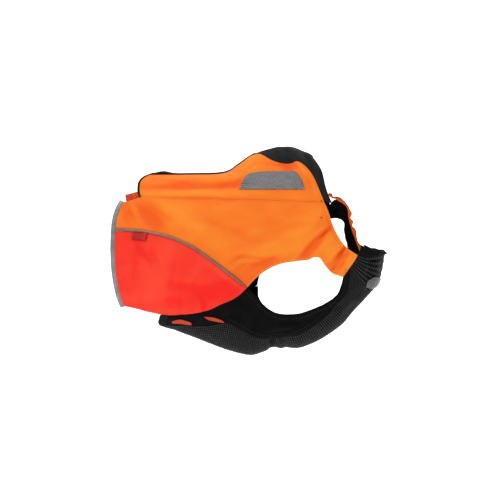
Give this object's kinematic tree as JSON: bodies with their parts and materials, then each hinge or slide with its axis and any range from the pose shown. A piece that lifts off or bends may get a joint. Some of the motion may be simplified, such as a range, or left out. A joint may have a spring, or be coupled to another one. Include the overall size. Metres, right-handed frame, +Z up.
{
  "type": "dog protection vest",
  "caption": "Hollow worn dog vest: orange and red flanks, black collar and gussets, ribbed underside, open neck, tail and leg holes.",
  "frame": {"origin": "on the ridge line of the vest's inside, behind the collar, where the vest rests on the wearer's back", "axes": "+X forward to the neck, +Y to the wearer's left, +Z up"},
  "size_m": [0.4884, 0.1432, 0.3751],
  "materials": {
    "orange_shell": "matt coated high visibility weave",
    "red_shell": "matt coated high visibility weave",
    "grey_reflective": "satin reflective tape",
    "grey_mesh": "open grey mesh over a backing",
    "black_soft": "soft stretch fleece",
    "charcoal_ribbed": "fine ribbed tough weave"
  },
  "bodies": {
    "root": {"yoke_right": "orange_shell", "flank_right": "orange_shell", "side_panel_right": "red_shell", "piping_right": "grey_reflective", "hem_band_right": "grey_reflective", "gusset_right": "black_soft", "tail_loop_right": "red_shell", "mesh_window_right": "grey_mesh", "chest_patch_right": "grey_reflective", "belly_strap_rear_right": "red_shell", "belly_strap_front_right": "red_shell", "yoke_left": "orange_shell", "flank_left": "orange_shell", "side_panel_left": "red_shell", "piping_left": "grey_reflective", "hem_band_left": "grey_reflective", "gusset_left": "black_soft", "tail_loop_left": "red_shell", "mesh_window_left": "grey_mesh", "chest_patch_left": "grey_reflective", "belly_strap_rear_left": "red_shell", "belly_strap_front_left": "red_shell", "side_label": "red_shell", "back_strip": "black_soft", "collar": "black_soft", "tail_binding": "black_soft", "belly_panel": "charcoal_ribbed", "chest_panel": "charcoal_ribbed", "chest_band": "black_soft", "belly_hem": "black_soft"}
  },
  "joints": []
}
